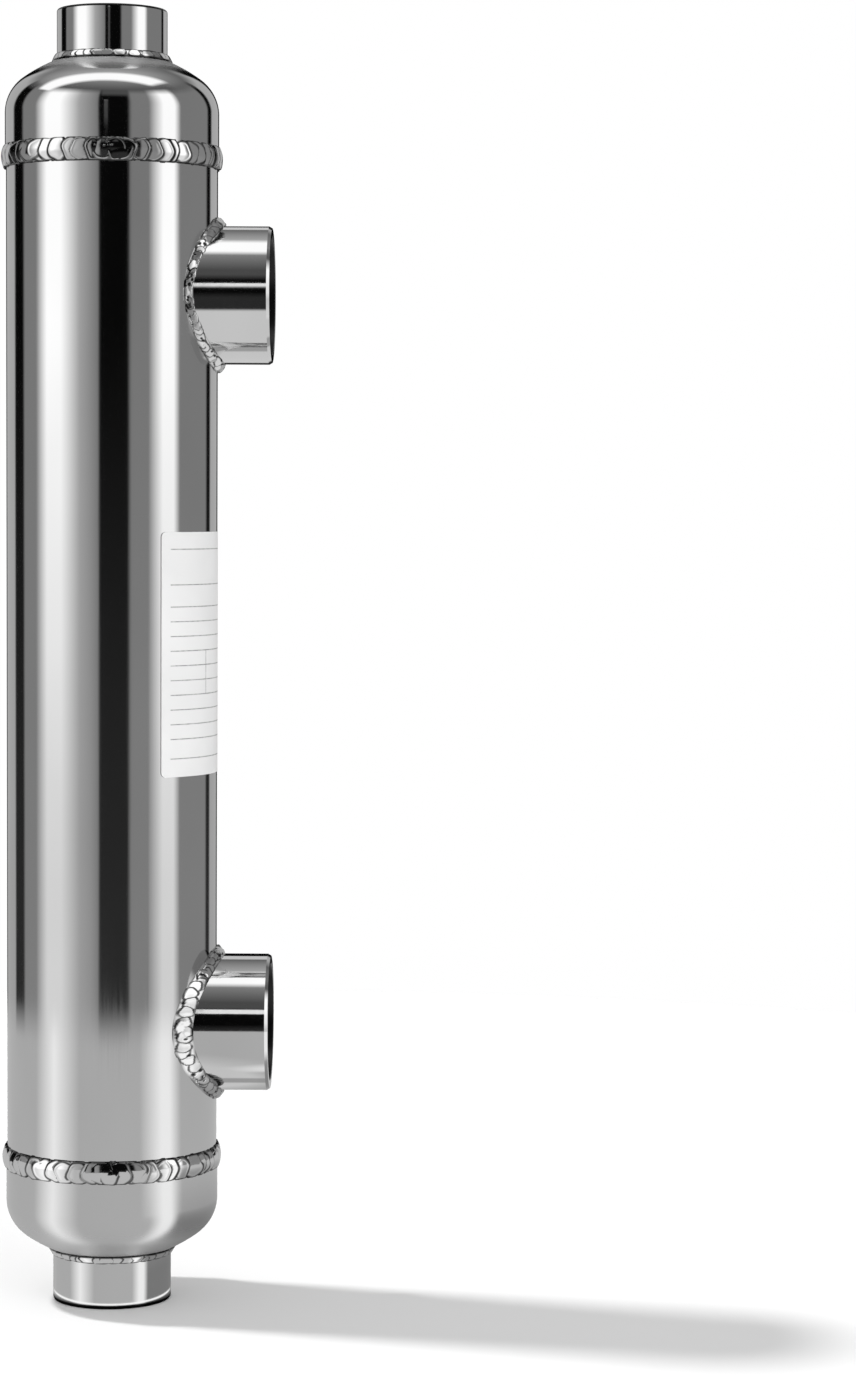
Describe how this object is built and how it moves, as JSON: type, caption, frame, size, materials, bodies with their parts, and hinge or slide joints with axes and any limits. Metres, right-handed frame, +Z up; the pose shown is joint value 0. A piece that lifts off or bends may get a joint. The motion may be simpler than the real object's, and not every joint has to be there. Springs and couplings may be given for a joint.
{
  "type": "pool heat exchanger",
  "caption": "Polished stainless shell-and-tube pool heat exchanger: a capped cylinder with threaded sockets on its axis for heating water and on its side for pool water.",
  "frame": {"origin": "middle of the rim of the lower end port, on the floor it stands on", "axes": "+Z up the shell's axis, +X the way the two side ports face, -Y towards the viewer of the picture"},
  "size_m": [0.0775, 0.0632, 0.3704],
  "materials": {
    "polished_steel": "polished to a mirror with fine lengthwise polishing lines",
    "weld_metal": "bright rippled weld bead",
    "plate_steel": "mill finish plate",
    "tube_steel": "drawn tube, satin",
    "label_film": "semi-gloss white sticker"
  },
  "bodies": {
    "root": {"shell": "polished_steel", "upper_head": "polished_steel", "lower_head": "polished_steel", "upper_end_port": "polished_steel", "lower_end_port": "polished_steel", "upper_side_port": "polished_steel", "lower_side_port": "polished_steel", "upper_girth_weld": "weld_metal", "lower_girth_weld": "weld_metal", "upper_end_port_weld": "weld_metal", "lower_end_port_weld": "weld_metal", "upper_saddle_weld": "weld_metal", "lower_saddle_weld": "weld_metal", "upper_tube_sheet": "plate_steel", "lower_tube_sheet": "plate_steel", "baffle_1": "plate_steel", "baffle_2": "plate_steel", "baffle_3": "plate_steel", "baffle_4": "plate_steel", "baffle_5": "plate_steel", "tube_1": "tube_steel", "tube_2": "tube_steel", "tube_3": "tube_steel", "tube_4": "tube_steel", "tube_5": "tube_steel", "tube_6": "tube_steel", "tube_7": "tube_steel", "tube_8": "tube_steel", "tube_9": "tube_steel", "tube_10": "tube_steel", "tube_11": "tube_steel", "tube_12": "tube_steel", "tube_13": "tube_steel", "tube_14": "tube_steel", "tube_15": "tube_steel", "tube_16": "tube_steel", "tube_17": "tube_steel", "tube_18": "tube_steel", "tube_19": "tube_steel", "rating_label": "label_film"}
  },
  "joints": []
}
